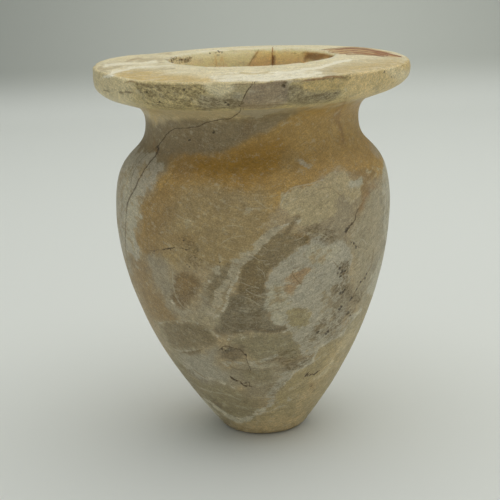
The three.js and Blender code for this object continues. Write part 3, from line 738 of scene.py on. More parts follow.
# Thin lines that stay crisp, such as cracks and scratches: (colour, strength, half-width, line).
# The first ones are the long crack, from the rim's edge down the neck and the left shoulder.
LINES = [
    ("crack", 0.95, 0.35, [(255, 82), (251.5, 86), (248.6, 89.2), (245.6, 94), (243.2, 99)]),
    ("crack", 0.6, 0.2, [(243.2, 99), (241.8, 103), (240.8, 107.4)]),
    ("crack", 0.9, 0.22, [(240.8, 106), (240.2, 111.6), (237.2, 114.2), (233, 117), (230, 118.9),
        (225, 119.2), (218.5, 119.9), (212.5, 121.4), (207, 122.4), (202.5, 124.4), (198.2, 126.7),
        (193, 127.3), (187.8, 128), (181, 128.2), (174.4, 128.6)]),
    ("crack", 0.95, 0.3, [(174.4, 128.6), (170, 131.4), (166.3, 134.6), (163.8, 138.4), (161.2, 141.7),
        (158.4, 145.6), (157.6, 150), (157.1, 154)]),
    ("crack", 0.75, 0.45, [(157.1, 154), (151, 160.6), (147.6, 165), (143.9, 170.3), (141.6, 175),
        (138.8, 179.5), (136.4, 185), (133.7, 190.7), (131, 195), (129.1, 198.9), (127.6, 202.6),
        (126.7, 207)]),
    ("bark", 0.5, 0.5, [(154.6, 141), (153.4, 146), (155.4, 151), (158.6, 152)]),
    ("mole", 0.4, 0.2, [(152, 147), (146, 150), (141, 154), (136, 160), (132, 168), (129.6, 178)]),
    ("crack", 0.55, 0.25, [(126.7, 207), (126, 215.2), (125.5, 225.4), (125.2, 236), (125.6, 248)]),
    ("mole", 0.6, 0.3, [(157, 147), (155.4, 142), (154, 138), (151.2, 134.6)]),
    ("crack", 0.45, 0.2, [(155.6, 148.4), (150, 152), (145.6, 155.6), (141, 160), (137.4, 165),
        (134.4, 170), (132.4, 175), (130.8, 183)]),
    ("bark", 0.5, 0.3, [(370, 192.6), (366.7, 195.4), (364.6, 199), (362, 203.6), (359, 207.6)]),
    ("crack", 0.8, 0.25, [(359, 207.6), (357.4, 210.6), (355.8, 215.4), (355.4, 219.2), (352.4, 223)]),
    ("crack", 1, 0.6, [(352.4, 223), (349.4, 227.4), (347.4, 230), (345.8, 231.8)]),
    ("crack", 1, 0.85, [(231.8, 377.8), (233.6, 379.2), (236.4, 380.6)]),
    ("crack", 1, 0.5, [(241.2, 383), (243, 385.2), (246.2, 386.4)]),
    ("crack", 0.9, 0.25, [(244.6, 383.4), (248, 382.2), (249.8, 384), (248.8, 386.4), (251.4, 386.8)]),
    ("crack", 1, 0.55, [(304.8, 377), (306.4, 375.2), (308.2, 373)]),
    ("crack", 0.95, 0.3, [(309.4, 375.4), (311, 374.6), (312.4, 373.8)]),
    ("crack", 1, 0.55, [(314, 374.6), (315.8, 373.4), (318.2, 371.4)]),
    ("crack", 1, 0.5, [(164, 249.4), (167, 248.6), (172.4, 248.2)]),
    ("mole", 0.8, 0.4, [(151, 250.4), (154, 251.2), (157, 250)]),
    ("milk", 0.35, 0.3, [(172.6, 272), (173, 284), (176, 296), (182, 306), (190, 311)]),
    ("mole", 0.6, 0.25, [(346.2, 232), (345, 237), (346.4, 244)]),
    ("crack", 0.8, 0.3, [(219.8, 350), (222, 347.6), (225, 346), (229, 347), (234, 348.4), (240, 349.6),
        (243, 352.4), (246, 355.6)]),
    ("crack", 0.7, 0.25, [(246, 356), (246.6, 360), (248.4, 365), (250.6, 369.8)]),
    ("mole", 0.9, 0.3, [(293.6, 269.4), (292.6, 274), (295.4, 278.4), (298, 281), (300.2, 283.6)]),
    ("mole", 0.6, 0.25, [(293.6, 269.6), (297, 267.4), (300, 266.6)]),
    ("crack", 0.7, 0.2, [(182, 248.4), (186.4, 250), (189, 249.2)]),
    ("crack", 0.6, 0.25, [(352.6, 241.6), (355, 245.6), (359, 247)]),
    # The brown vein down the neck, on the right.
    ("bark", 0.35, 0.9, [(346, 99), (343, 106), (340, 112), (338.5, 119), (340, 127), (342.6, 133),
        (343.4, 142)]),
    # Dark threads among the clouds on the right.
    ("mole", 0.7, 0.35, [(366.6, 273.4), (364, 278), (360.4, 282.8), (356.4, 289.4), (351.4, 299)]),
    ("mole", 0.6, 0.3, [(374, 250), (372.4, 258), (371, 266), (368, 272)]),
    ("mole", 0.55, 0.3, [(334, 262), (338, 267), (343, 272), (344, 279), (341, 286), (343, 291)]),
    ("mole", 0.5, 0.3, [(349.6, 315), (344, 321), (337, 326), (328, 331.4), (318, 334)]),
    ("mole", 0.5, 0.3, [(300, 234), (308, 231), (318, 232), (326, 229), (334, 231)]),
    ("mole", 0.55, 0.35, [(299, 216), (295, 221), (291, 228), (286, 234)]),
    ("mole", 0.45, 0.3, [(318, 190), (326, 187), (334, 190), (341, 196)]),
    ("mole", 0.5, 0.3, [(250, 326), (262, 330.4), (274, 331.2), (286, 328.6)]),
    ("umber", 0.6, 0.3, [(228, 364), (236, 369), (246, 370.4), (254, 374)]),
    ("umber", 0.5, 0.3, [(262, 358), (270, 357), (278, 359), (284, 357)]),
    # Pale scratches and vein edges on the body.
    ("milk", 0.35, 0.3, [(296, 240), (302, 237.6), (306, 233), (312, 236), (318, 233.6), (326, 236)]),
    ("milk", 0.5, 0.35, [(281, 203), (288, 191), (296, 186.6), (310, 184), (322, 180)]),
    ("milk", 0.45, 0.3, [(352, 240), (358, 243), (362, 239), (366, 243)]),
    ("milk", 0.4, 0.25, [(243, 283), (250, 286), (258, 288)]),
    ("milk", 0.4, 0.25, [(246, 290), (253, 294), (262, 297)]),
    ("milk", 0.35, 0.25, [(244, 297), (252, 300), (259, 305)]),
    ("milk", 0.35, 0.25, [(252, 256), (259, 260), (266, 261)]),
    ("milk", 0.35, 0.25, [(258, 268), (263, 272), (265, 277)]),
    ("ash", 0.4, 0.3, [(262, 246), (268, 250), (276, 250)]),
    ("milk", 0.4, 0.3, [(200, 388), (212, 392), (226, 394), (238, 399)]),
    ("milk", 0.4, 0.3, [(300, 372), (306, 366), (314, 362), (322, 355)]),
    ("milk", 0.25, 0.3, [(160, 323), (168, 321.5), (176, 320.5), (186, 320), (196, 322)]),
    ("milk", 0.45, 0.3, [(173.5, 348.5), (180, 351), (190, 350.5), (198, 349)]),
    ("umber", 0.8, 0.4, [(183, 352.5), (191, 352), (198.5, 351), (201, 350)]),
    ("milk", 0.35, 0.25, [(256, 200), (261, 204), (266, 207.4), (270, 209)]),
    ("milk", 0.35, 0.25, [(227, 226), (234, 225.4), (241, 226.6)]),
    ("milk", 0.4, 0.25, [(183, 361), (188, 365), (193, 369)]),
    ("milk", 0.35, 0.25, [(258, 411), (266, 412), (275, 409), (286, 405)]),
    ("mole", 0.6, 0.35, [(213, 401), (218, 404.5), (223, 408)]),
    ("mole", 0.5, 0.35, [(193, 369.5), (198, 373), (205, 377.5)]),
    ("milk", 0.35, 0.3, [(222, 243), (228, 239), (236, 236.6), (243, 236)]),
    ("milk", 0.3, 0.25, [(176, 214), (184, 219), (194, 221.4)]),
    ("milk", 0.3, 0.25, [(302, 300), (312, 296), (322, 290), (330, 281)]),
    # The rim's edge.
    ("mole", 0.6, 0.3, [(234, 84.4), (250, 83.8), (262, 83.2), (275, 82.6), (287, 81.8)]),
    ("umber", 0.6, 0.3, [(196, 109.8), (222, 107.8), (243, 106.4), (266, 105.4), (290, 104)]),
    ("umber", 0.5, 0.3, [(140, 84.8), (160, 85.4), (180, 85.4), (202, 85)]),
    ("umber", 0.7, 0.35, [(104.5, 90.5), (106, 91), (107.5, 91)]),
    ("umber", 0.75, 0.35, [(120, 92.3), (126, 92), (131, 92.6)]),
    ("sepia", 0.6, 0.4, [(126, 82.5), (130, 81), (134, 82)]),
    ("bark", 0.75, 0.5, [(304, 80.6), (313, 79.4), (322, 78), (332, 76.6), (341, 76.8)]),
    # Painted highlight: the glint along the rim's upper left corner, laid on a whitish worn ridge.
    ("snow", 0.8, 0.6, [(103.5, 77), (107, 75.2), (114, 72.7), (122, 70.6), (130, 69.4)]),
    # Layers of the stone on the rim's top.
    ("snow", 0.5, 0.35, [(105, 65.5), (118, 63.8), (128, 63), (142, 64), (156, 62.5)]),
    ("snow", 0.55, 0.4, [(112, 72.5), (124, 69.6), (140, 66.8), (156, 66.2), (172, 65.5)]),
    ("bone", 0.6, 0.35, [(130, 74), (142, 71), (158, 69.8), (176, 68.8)]),
    ("snow", 0.9, 0.6, [(276, 73.8), (290, 72), (305, 69.5), (322, 67), (336, 63), (350, 60)]),
    ("snow", 0.8, 0.45, [(250, 79), (270, 80), (290, 78.5), (305, 75.5), (320, 73)]),
    ("fawn", 0.7, 0.4, [(240, 72.5), (255, 73.5), (268, 72)]),
    ("bark", 1, 0.25, [(322, 49.8), (334, 48.6), (346, 47.8), (358, 48), (370, 49.6)]),
    ("rust", 1, 0.4, [(336, 50), (348, 48.8), (361, 49.2), (375, 51), (393, 54.8), (402, 57)]),
    ("rust", 1, 0.25, [(331, 52.4), (344, 50.9), (358, 50.8), (372, 52.2), (388, 55.6)]),
    ("rust", 0.95, 0.2, [(340, 53.6), (354, 52.6), (368, 53.5), (384, 56.2)]),
    ("toffee", 0.5, 0.1, [(334, 51.3), (346, 49.9), (359, 50), (371, 51.5)]),
    ("toffee", 0.35, 0.1, [(338, 53.1), (350, 51.8), (362, 52), (374, 53.4)]),
    ("bark", 1, 0.2, [(346, 54.8), (360, 54.4), (374, 55.4), (386, 57)]),
    ("bark", 0.4, 0.4, [(127, 61), (132, 59.8), (137, 58.4), (143, 59.2)]),
    # The crack in the bore.
    ("rust", 0.8, 0.3, [(272.8, 48.6), (272, 54), (273, 59), (272.2, 65)]),
    ("sepia", 0.5, 0.3, [(249, 64), (254, 57), (258, 51.5)]),
    ("toffee", 0.7, 0.3, [(215, 56), (216, 60), (216.5, 65)]),
    ("toffee", 0.6, 0.3, [(222, 56), (223, 60), (223.5, 66)]),
]


# Black spots: (place, radius in mm).
SPOTS = [
    ((234.4, 379.6), 0.6), ((306.4, 375.6), 0.4), ((311.4, 386.6), 0.6), ((313.6, 390.6), 0.5),
    ((340.6, 293.4), 1.0), ((342.6, 291.6), 1.1), ((344.4, 290), 0.8), ((351.4, 299), 0.9),
    ((350, 301), 0.6), ((339.6, 309.4), 1.0), ((341.2, 307.8), 0.8), ((348.4, 313.2), 0.9),
    ((349.6, 315.4), 0.7), ((327.8, 331.6), 1.1), ((326.2, 333), 0.7), ((318, 332.6), 0.8),
    ((316.4, 334), 0.6), ((339.4, 269), 0.9), ((342.2, 271.4), 1.1), ((345.2, 270.4), 0.8),
    ((343, 274.4), 0.9), ((340.4, 276), 0.7), ((345.8, 277), 0.6), ((338, 272.6), 0.6),
    ((360.4, 282.6), 0.8), ((364.2, 277.8), 0.9), ((366.6, 273.6), 0.7), ((356.6, 289), 0.6),
    ((353.6, 244.6), 0.7), ((356.4, 247.2), 0.7), ((351.6, 242.4), 0.5), ((346.2, 231), 1.0),
    ((347.4, 228.8), 0.8), ((348.4, 226.6), 0.5), ((213.6, 132.6), 0.8), ((189.8, 140.4), 0.5),
    ((171, 248.8), 0.5), ((153.4, 251), 0.5), ((183, 240.6), 0.4), ((186, 250.6), 0.4),
    ((194.6, 256.3), 0.5), ((187.5, 263.4), 0.4), ((189, 267.7), 0.5), ((220, 262), 0.4),
    ((157.4, 147), 0.9), ((158, 150), 1.0), ((156.8, 152.6), 0.7), ((246, 355.4), 0.7),
    ((222.6, 349), 0.7), ((226.2, 351.4), 0.5), ((234, 350), 0.6), ((238.6, 353.6), 0.5),
    ((384.6, 71.4), 0.6), ((400.6, 65.4), 0.6), ((391, 77.6), 0.4), ((285, 85.6), 0.9),
    ((240, 105.6), 0.6), ((229, 104.6), 0.8), ((234, 103), 0.8), ((225.6, 102.6), 0.6),
    ((169, 59.2), 0.8), ((171.2, 60.4), 0.9), ((174.2, 60.2), 0.8), ((177, 58.8), 0.7),
    ((181, 59.4), 0.6), ((172.2, 58), 0.6), ((185.4, 58.6), 0.5), ((179, 60.8), 0.5),
    ((215.8, 52.8), 0.6), ((218.4, 51.8), 0.7), ((220.4, 53), 0.6), ((208.6, 53), 0.4),
    ((184.6, 89.4), 0.7), ((187, 91), 0.6), ((147, 92.4), 0.5), ((158.6, 101.6), 0.5),
]


# Laying it on the mesh.

# The colours of the pale crust that covers the warmer stone in ragged patches.
PALE = {"ash", "bone", "pearl", "chalk", "milk", "snow"}
LINE_REACH = 9.0  # picture points from a thin line, within which places know of it


def close_to(pixels, line, margin):
    return ((pixels > line.min(axis=0) - margin) & (pixels < line.max(axis=0) + margin)).all(axis=1)


def blend(colour, name, weight):
    colour += (linear(name) - colour) * weight[:, None]


def outline_weight(pixels, outline, soft, ragged):
    """1 inside a closed outline and 0 outside it, with a soft and ragged border."""
    outline = smooth_line(outline, closed=True)
    weight = np.zeros(len(pixels))
    here = close_to(pixels, outline, soft + 5)
    away = outline_distance(pixels[here], outline) + ragged[here]
    weight[here] = 1 - smoothstep(-soft, soft, away)
    return weight


def stroke_weight(pixels, line, half_width, soft, ragged):
    line = smooth_line(line)
    weight = np.zeros(len(pixels))
    here = close_to(pixels, line, half_width + soft + 3)
    away = line_distance(pixels[here], line)[0] + 0.4 * ragged[here]
    weight[here] = 1 - smoothstep(half_width - soft / 2, half_width + soft, away)
    return weight


def blot_weight(pixels, centre, halves, turn, soft, ragged):
    turn = math.radians(turn)
    off = pixels - centre
    along = (off[:, 0] * math.cos(turn) + off[:, 1] * math.sin(turn)) / halves[0]
    across = (off[:, 1] * math.cos(turn) - off[:, 0] * math.sin(turn)) / halves[1]
    away = (np.hypot(along, across) - 1) * min(halves) + ragged
    return 1 - smoothstep(-soft, soft, away)


class Coat:
    """The stone's colour at each place, under a pale crust that covers it in part."""

    def __init__(self, count, ground):
        self.stone = np.tile(linear(ground), (count, 1))
        self.crust_colour = np.tile(linear("ash"), (count, 1))
        self.crust = np.zeros(count)

    def lay(self, name, strength, weight):
        """Lays one colour where the weight is above 0: pale ones on the crust, others on the stone."""
        if name in PALE:
            blend(self.crust_colour, name, np.minimum(1, 2.5 * weight))
            self.crust += (strength - self.crust) * weight
        else:
            blend(self.stone, name, strength * weight)
            self.crust *= 1 - strength * weight

    def cover(self, here, other, weight):
        """Lays another coat over some of the places."""
        self.stone[here] += (other.stone - self.stone[here]) * weight[:, None]
        self.crust_colour[here] += (other.crust_colour - self.crust_colour[here]) * weight[:, None]
        self.crust[here] += (other.crust - self.crust[here]) * weight


def hidden_coat(places, parts):
    """The stone where the front doesn't show it: broad honey and grey zones with pale veins, and painted
    glow inside the mouth.
    """
    coat = Coat(len(places), "buff")
    broad = waves(places * (1, 1, 0.8), 62, 6, 3)
    second = waves(places * (1, 1, 1.4), 38, 7, 3)
    vein = np.abs(waves(places, 48, 8, 3))
    coat.lay("honey", 0.8, smoothstep(-0.1, 0.45, broad))
    coat.lay("olive", 0.6, smoothstep(0.2, 0.6, second))
    coat.lay("taupe", 0.6, smoothstep(0.15, 0.55, -second))
    coat.lay("ash", 0.7, smoothstep(0.0, 0.4, -broad))
    coat.lay("milk", 0.5, 1 - smoothstep(0.01, 0.07, vein))
    # Painted glow: the bore and the cavity are painted pale, standing in for light let in through the rim.
    coat.lay("painted_glow_butter", 0.85, np.isin(parts, ["bore", "cavity"]).astype(float))
    return coat


def paint_zones(places, parts, pixels, facing):
    """The coat and the dirt at each place."""
    warp = np.stack([
        5.0 * waves(places, 16, seed, 4) + 1.2 * waves(places, 4, seed + 1) for seed in (11, 13)
    ], axis=1)
    ragged = 2.5 * waves(places, 9, 15, 3) + 1.5 * waves(places, 3, 16)
    shown = 1 - smoothstep(0.05, 0.35, -facing)
    coat = hidden_coat(places, parts)
    dirt = np.zeros(len(places))
    for part, zones, blots, strokes, dirty, unrest in (
        ("body", BODY_ZONES, BODY_BLOTS, BODY_STROKES, BODY_DIRT, 1.0),
        ("edge", EDGE_ZONES, [], EDGE_STROKES, EDGE_DIRT, 0.5),
        ("top", TOP_ZONES, [], TOP_STROKES, TOP_DIRT, 0.35),
        ("bore", BORE_ZONES, [], BORE_STROKES, BORE_DIRT, 0.35),
    ):
        here = parts == part
        at, rag = pixels[here] + warp[here] * unrest, ragged[here] * unrest
        painted = Coat(here.sum(), "buff")
        for name, strength, soft, outline in zones:
            painted.lay(name, strength, outline_weight(at, outline, soft, rag))
        for name, strength, soft, centre, halves, turn in blots:
            painted.lay(name, strength, blot_weight(at, centre, halves, turn, soft, rag))
        for name, strength, half_width, soft, line in strokes:
            painted.lay(name, strength, stroke_weight(at, line, half_width, soft, rag))
        coat.cover(here, painted, shown[here])
        for density, soft, outline in dirty:
            weight = density * outline_weight(at, outline, soft, rag) * shown[here]
            dirt[here] = np.maximum(dirt[here], weight)
    return coat, dirt


def paint_lines(pixels, facing):
    """For each place, the nearest thin line: how far it is, on which side, and how it looks."""
    count = len(pixels)
    near, side = np.full(count, LINE_REACH), np.full(count, LINE_REACH)
    strength, width, colour = np.zeros(count), np.zeros(count), np.zeros((count, 3))
    for name, line_strength, half_width, line in LINES:
        line = smooth_line(line, steps=3)
        here = np.flatnonzero(close_to(pixels, line, LINE_REACH) & (facing > 0))
        away, signed = line_distance(pixels[here], line)
        closer = away < near[here]
        here, away, signed = here[closer], away[closer], signed[closer]
        near[here], side[here] = away, signed
        strength[here], width[here], colour[here] = line_strength, half_width, linear(name)
    return {
        "line_near": near,
        "line_side": np.clip(side, -LINE_REACH, LINE_REACH),
        "line_strength": strength,
        "line_width": width,
        "line_colour": colour,
    }


def give(mesh, name, values):
    """Adds an attribute of one number, or of one colour, at each vertex."""
    if values.ndim == 2:
        attribute = mesh.attributes.new(name, "FLOAT_COLOR", "POINT")
        values = np.concatenate([values, np.ones((len(values), 1))], axis=1)
        attribute.data.foreach_set("color", values.ravel())
    else:
        mesh.attributes.new(name, "FLOAT", "POINT").data.foreach_set("value", values)


def paint(mesh, places, parts, camera):
    """Wears the mesh, gives it the attributes that its material reads, and finds the black spots."""
    to_camera = np.array(CAMERA_AT) - places * MM
    to_camera /= np.linalg.norm(to_camera, axis=1)[:, None]
    facing = np.einsum("ij,ij->i", mesh_normals(mesh), to_camera)
    pixels = picture_points(camera, places * MM)
    coat, dirt = paint_zones(places, parts, pixels, facing)
    lines = paint_lines(pixels, facing)
    is_crack = np.abs(lines["line_colour"] - linear("crack")).sum(axis=1) < 1e-6
    wear(mesh, places, parts, pixels, facing, lines["line_near"], lines["line_strength"] * is_crack)
    radius = np.hypot(places[:, 0], places[:, 1])
    in_mouth = 1 - smoothstep(MOUTH_RADIUS + 1, MOUTH_RADIUS + 6, radius)
    attributes = {
        "stone": coat.stone,
        "crust_colour": coat.crust_colour,
        "crust": coat.crust,
        "dirt": dirt,
        "on_top": (parts == "top").astype(float),
        "neck": smoothstep(168, 196, places[:, 2]) * (parts == "body"),
        "inside": np.where(parts == "top", in_mouth, np.isin(parts, ["bore", "cavity"])),
        **lines,
    }
    for name, values in attributes.items():
        give(mesh, name, values)
    hidden = np.where(facing > 0.05, 0, 99)
    nearest = [np.argmin(np.hypot(*(pixels - spot).T) + hidden) for spot, _ in SPOTS]
    return [(places[i] * MM, radius) for i, (_, radius) in zip(nearest, SPOTS)]


# Materials.

BED_SLOPE = 0.7  # how steeply the stone's beds dip towards the middle
BED_ROUND = 0.03  # m from the middle, over which they level out
SPOT_COLOUR = (0.06, 0.038, 0.017, 1)


class Tree:
    """Short names for the nodes of one material."""

    def __init__(self, name):
        self.material = bpy.data.materials.new(name)
        self.material.use_nodes = True
        self.nodes = self.material.node_tree.nodes
        self.shader = self.nodes["Principled BSDF"]
        self.place = self.nodes.new("ShaderNodeTexCoord").outputs["Object"]
        self.along_beds = None

    def fill(self, node, inputs):
        """Gives a node's inputs their values or links, by name or by number."""
        for key, value in inputs.items():
            if isinstance(value, bpy.types.NodeSocket):
                self.material.node_tree.links.new(value, node.inputs[key])
            else:
                node.inputs[key].default_value = value
        return node

    def attribute(self, name, output="Fac"):
        node = self.nodes.new("ShaderNodeAttribute")
        node.attribute_name = name
        return node.outputs[output]

    def maths(self, operation, *values):
        node = self.nodes.new("ShaderNodeMath")
        node.operation = operation
        return self.fill(node, dict(enumerate(values))).outputs[0]

    def scaled(self, value, factor, more=0.0):
        return self.maths("MULTIPLY_ADD", value, factor, more)

    def product(self, *values):
        total = values[0]
        for value in values[1:]:
            total = self.maths("MULTIPLY", total, value)
        return total

    def step(self, value, low, high, bottom=0.0, top=1.0):
        """A smooth step of a value from bottom, at low, to top, at high."""
        node = self.nodes.new("ShaderNodeMapRange")
        node.interpolation_type = "SMOOTHSTEP"
        inputs = {"Value": value, "From Min": low, "From Max": high, "To Min": bottom, "To Max": top}
        return self.fill(node, inputs).outputs["Result"]

    def thread(self, pattern, width):
        """1 on the thin lines where a pattern of 0 to 1 passes its middle, and 0 away from them."""
        return self.step(self.maths("ABSOLUTE", self.maths("SUBTRACT", pattern, 0.5)), 0.0, width, 1.0, 0.0)

    def split(self, vector):
        return self.fill(self.nodes.new("ShaderNodeSeparateXYZ"), {0: vector}).outputs

    def bedding(self):
        """Places in the stone's beds, which dip from both sides towards the middle like a bowl."""
        if self.along_beds is None:
            x, y, z = self.split(self.place)
            aside = self.maths("SQRT", self.scaled(x, x, BED_ROUND**2))
            height = self.scaled(aside, -BED_SLOPE, z)
            joined = self.nodes.new("ShaderNodeCombineXYZ")
            self.along_beds = self.fill(joined, {0: x, 1: y, 2: height}).outputs[0]
        return self.along_beds

    def noise(self, length, detail=2.0, roughness=0.5, stretch=(1, 1, 1), turn=(0, 0, 0), shift=0.0,
              bedded=False):
        """Noise from 0 to 1 in waves of the given length in mm, drawn out by stretch."""
        mapping = self.nodes.new("ShaderNodeMapping")
        mapping.vector_type = "TEXTURE"
        self.fill(mapping, {
            "Vector": self.bedding() if bedded else self.place,
            "Rotation": [math.radians(angle) for angle in turn],
            "Scale": [length * MM * along for along in stretch],
            "Location": (shift, shift * 1.7, -shift),
        })
        inputs = {"Vector": mapping.outputs[0], "Scale": 1.0, "Detail": detail, "Roughness": roughness}
        return self.fill(self.nodes.new("ShaderNodeTexNoise"), inputs).outputs["Fac"]

    def mix(self, weight, below, above):
        node = self.nodes.new("ShaderNodeMix")
        node.data_type = "RGBA"
        return self.fill(node, {0: weight, 6: below, 7: above}).outputs[2]

    def ink(self, weight, colour, name):
        """The colour with one of the stone's own colours over it, where the weight is above 0."""
        return self.mix(weight, colour, (*linear(name), 1.0))

    def vector_maths(self, operation, inputs, output=0):
        node = self.nodes.new("ShaderNodeVectorMath")
        node.operation = operation
        return self.fill(node, inputs).outputs[output]


def hairlines(tree, length, stretch, turn, shift, share):
    """Short thin lines, in places, all lying one way: 1 on a line."""
    line = tree.thread(tree.noise(length, 1.0, 0.4, stretch, turn, shift), 0.012)
    in_places = tree.step(tree.noise(9, 2.0, 0.5, shift=shift + 3), share, share + 0.1)
    return tree.product(line, in_places)


def crusted(tree, wisps):
    """The stone under its pale crust, which has a ragged border and lies in flakes where it is thin."""
    flakes = tree.noise(7, 7.0, 0.68, shift=4.2)
    crust = tree.attribute("crust")
    covered = tree.maths("ADD", crust, tree.scaled(flakes, 1.9, -0.95))
    covered = tree.maths("ADD", covered, tree.scaled(wisps, 1.5, -0.75))
    covered = tree.step(covered, 0.34, 0.62, 0.0, 0.72)
    covered = tree.scaled(crust, 0.28, tree.product(covered, tree.step(crust, 0.0, 0.12)))
    return tree.mix(covered, tree.attribute("stone", "Color"), tree.attribute("crust_colour", "Color"))


def clouded(tree, colour, broad, wisps, fine, grain, calm):
    """Darker and lighter by a few parts in a hundred, and milky, flecked or brown in places."""
    brushed = tree.noise(1.0, 3.0, 0.7, stretch=(5, 4, 1), shift=8.8, bedded=True)
    factor = tree.product(
        tree.scaled(broad, 0.38, 0.82),
        tree.scaled(wisps, 0.24, 0.88),
        tree.scaled(fine, 0.65, 0.675),
        tree.scaled(grain, 1.5, 0.25),
        tree.scaled(brushed, 0.9, 0.55),
    )
    factor = tree.scaled(tree.maths("SUBTRACT", factor, 1.0), calm, 1.0)
    colour = tree.vector_maths("SCALE", {0: colour, "Scale": factor})
    milky = tree.scaled(wisps, 0.4, tree.product(tree.noise(3.6, 6.0, 0.72, shift=1.2), 0.6))
    colour = tree.ink(tree.step(milky, 0.53, 0.62, 0.0, 0.36), colour, "milk")
    for name, pattern, low, high, strength in (
        ("ivory", tree.noise(1.5, 4.0, 0.75, shift=2.6), 0.58, 0.68, 0.34),
        ("umber", tree.noise(1.7, 4.0, 0.75, shift=9.6), 0.42, 0.33, 0.4),
        ("sepia", tree.noise(6, 6.0, 0.7, shift=6.1), 0.56, 0.7, 0.25),
    ):
        colour = tree.ink(tree.product(tree.step(pattern, low, high, 0.0, strength), calm), colour, name)
    return colour


def layered(tree, colour, on_top):
    """The edges of the stone's layers, as streaks across the rim's top."""
    streaks = tree.noise(1.6, 3.0, 0.6, stretch=(12, 1.5, 1), turn=(0, 0, -4), shift=7.7)
    for name, low, high, strength in (("snow", 0.52, 0.62, 0.32), ("fawn", 0.47, 0.38, 0.4)):
        colour = tree.ink(tree.product(on_top, tree.step(streaks, low, high, 0.0, strength)), colour, name)
    return colour


def scuffed(tree, colour, scuffs):
    """Scuffs, pale and dark threads, and pores."""
    for scuff in scuffs:
        colour = tree.ink(tree.product(scuff, 0.3), colour, "ivory")
    for name, strength, shift in (("milk", 0.34, 0.7), ("umber", 0.42, 5.2)):
        thread = tree.thread(tree.noise(5.5, 4.0, 0.62, shift=shift), 0.016)
        in_places = tree.step(tree.noise(8, 2.0, 0.5, shift=shift + 2), 0.5, 0.62, 0.0, strength)
        colour = tree.ink(tree.product(thread, in_places), colour, name)
    pores = tree.step(tree.noise(0.9, 2.0, 0.5, shift=9.2), 0.26, 0.2)
    return tree.ink(tree.product(pores, 0.6), colour, "umber")


def dirty_pores(tree):
    dirt = tree.attribute("dirt")
    specks = tree.noise(1.3, 5.0, 0.75, stretch=(1.7, 1, 1), shift=5.5)
    smears = tree.noise(4.5, 4.0, 0.6, stretch=(2.5, 1, 0.8), shift=7.1)
    specks = tree.maths("ADD", specks, tree.scaled(smears, 0.5, -0.25))
    specks = tree.step(tree.scaled(dirt, 0.14, specks), 0.5, 0.72)
    return tree.product(tree.step(dirt, 0.0, 0.6), specks)


def lined(tree, colour, on_top):
    """The cracks, veins and scratches that lie where the object has them, wandering a little."""
    wander = tree.scaled(tree.noise(1.6, 3.0, 0.6, shift=8.3), 2.0, -1.0)
    wander = tree.product(wander, tree.scaled(on_top, -0.7, 1.0))
    side = tree.maths("ABSOLUTE", tree.maths("ADD", tree.attribute("line_side"), wander))
    broken = tree.step(tree.noise(2.2, 3.0, 0.7, shift=3.9), 0.3, 0.6, 0.35, 1.25)
    width = tree.product(tree.attribute("line_width"), broken)
    on_line = tree.product(
        tree.step(tree.maths("SUBTRACT", side, width), -0.1, 0.45, 1.0, 0.0),
        tree.step(tree.attribute("line_near"), 2.2, 3.2, 1.0, 0.0),
        tree.attribute("line_strength"),
    )
    return tree.mix(on_line, colour, tree.attribute("line_colour", "Color"))


def black_spots(tree, spots):
    """Where the black spots are, each with a ragged border."""
    ragged = tree.scaled(tree.noise(1.2, 3.0, 0.7, shift=6.6), 3.2 * MM, -1.6 * MM)
    spotted = 0.0
    for place, radius in spots:
        away = tree.vector_maths("DISTANCE", {0: tree.place, 1: place}, "Value")
        spot = tree.step(tree.maths("ADD", away, ragged), 0.6 * radius * MM, 1.5 * radius * MM, 1.0, 0.0)
        spotted = tree.maths("MAXIMUM", spotted, spot)
    return spotted


def stone_material(spots):
    tree = Tree("alabaster")
    fine = tree.noise(3.4, 4.0, 0.62, shift=1.3)
    grain = tree.noise(0.8, 3.0, 0.6, shift=2.1)
    wisps = tree.noise(3.2, 5.0, 0.65, stretch=(5, 3, 1), shift=3.3, bedded=True)
    on_top, inside = tree.attribute("on_top"), tree.attribute("inside")
    calm = tree.scaled(inside, -0.6, tree.scaled(on_top, -0.25, 1.0))
    calm = tree.scaled(tree.attribute("neck"), -0.3, calm)
    scuffs = [
        hairlines(tree, 3.0, (1, 1, 7), (0, 35, 10), 1.0, 0.54),
        hairlines(tree, 3.4, (7, 1, 1), (0, 25, -30), 2.0, 0.55),
        hairlines(tree, 2.6, (1, 1, 6), (0, -40, 25), 3.0, 0.56),
    ]
    soiled = dirty_pores(tree)
    spotted = black_spots(tree, spots)

    colour = crusted(tree, wisps)
    colour = clouded(tree, colour, tree.noise(13, 5.0, 0.6), wisps, fine, grain, calm)
    colour = scuffed(tree, layered(tree, colour, on_top), scuffs)
    colour = tree.ink(tree.product(soiled, 0.75), colour, "dirt")
    colour = tree.mix(tree.product(spotted, 0.85), lined(tree, colour, on_top), SPOT_COLOUR)

    rough = tree.scaled(tree.noise(5, 4.0, 0.6, shift=2.8), 0.3, 0.36)
    relief = tree.scaled(grain, 0.5, fine)
    for scuff in scuffs:
        relief = tree.scaled(scuff, -0.25, relief)
    relief = tree.maths("SUBTRACT", tree.scaled(soiled, -0.5, relief), spotted)
    bump = tree.nodes.new("ShaderNodeBump")
    tree.fill(bump, {"Strength": 0.5, "Distance": 0.5 * MM, "Height": relief})
    tree.fill(tree.shader, {
        "Base Color": colour,
        "Roughness": tree.scaled(soiled, 0.2, rough),
        "Subsurface Weight": tree.scaled(inside, 0.8, 0.15),
        "Subsurface Radius": (1.0, 0.84, 0.68),
        "Subsurface Scale": tree.scaled(inside, 0.022, 0.008),
        "Normal": bump.outputs["Normal"],
    })
    return tree.material


# Light and surroundings.

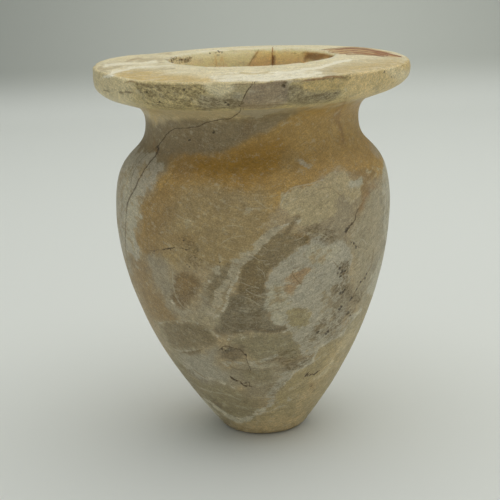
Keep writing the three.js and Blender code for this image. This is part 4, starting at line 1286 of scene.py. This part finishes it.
BACKDROP_HALF_WIDTH = 4.0
FLOOR_FRONT = -2.5
SWEEP_START = 1.3
SWEEP_RADIUS = 0.42
SWEEP_HEIGHT = 3.0
PAPER_COLOUR = (0.80, 0.82, 0.77, 1)
# Painted shade: the wall is painted darker than the floor, and darker still to the sides.
WALL_COLOUR = (0.57, 0.59, 0.53, 1)  # where it is lightest, right of the middle
WALL_SHADE_ASIDE = (0.33, 0.345, 0.31, 1)
WALL_LIGHTEST_AT = 0.14


def paper_material():
    """The pale floor, which turns into a darker wall just above its level: painted shade, darker still to
    the sides.
    """
    tree = Tree("paper")
    x, _, z = tree.split(tree.place)
    aside = tree.step(tree.maths("ABSOLUTE", tree.maths("SUBTRACT", x, WALL_LIGHTEST_AT)), 0.0, 0.9)
    wall = tree.mix(aside, WALL_COLOUR, WALL_SHADE_ASIDE)
    tree.fill(tree.shader, {
        "Base Color": tree.mix(tree.step(z, -0.01, 0.07), PAPER_COLOUR, wall),
        "Roughness": 0.85,
    })
    return tree.material


def show(name, data):
    """An object with the given data, in the scene."""
    thing = bpy.data.objects.new(name, data)
    bpy.context.scene.collection.objects.link(thing)
    return thing


def make_backdrop():
    bend = [
        (SWEEP_START + SWEEP_RADIUS * math.sin(a), SWEEP_RADIUS * (1 - math.cos(a)))
        for a in np.linspace(0, math.pi / 2, 25)
    ]
    line = [(FLOOR_FRONT, 0), (-0.5, 0), (0.5, 0)] + bend + [(SWEEP_START + SWEEP_RADIUS, SWEEP_HEIGHT)]
    vertices = [(x, y, z) for y, z in line for x in (-BACKDROP_HALF_WIDTH, BACKDROP_HALF_WIDTH)]
    faces = [(2 * i, 2 * i + 1, 2 * i + 3, 2 * i + 2) for i in range(len(line) - 1)]
    mesh = bpy.data.meshes.new("backdrop")
    mesh.from_pydata(vertices, [], faces)
    mesh.shade_smooth()
    mesh.materials.append(paper_material())
    show("backdrop", mesh)


def make_light():
    """A broad soft light overhead, a little behind and to the right, and a pale surrounding."""
    data = bpy.data.lights.new("overhead", "AREA")
    data.shape = "DISK"
    data.size = 2.8
    data.energy = 22.5
    data.color = (1.0, 0.99, 0.96)
    light = show("overhead", data)
    light.location = (0.25, 0.22, 1.7)
    light.rotation_euler = (-light.location).to_track_quat("-Z", "Y").to_euler()
    world = bpy.data.worlds.new("world")
    world.use_nodes = True
    background = world.node_tree.nodes["Background"]
    background.inputs["Color"].default_value = (0.93, 0.97, 1.0, 1)
    background.inputs["Strength"].default_value = 0.42
    bpy.context.scene.world = world
    bpy.context.scene.view_settings.view_transform = "Standard"


camera = make_camera()
mesh, places, parts = jar_mesh()
spots = paint(mesh, places, parts, camera)
jar = show("jar_stone", mesh)
mesh.materials.append(stone_material(spots))
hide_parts("jar")
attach(jar, "root")
make_backdrop()
make_light()
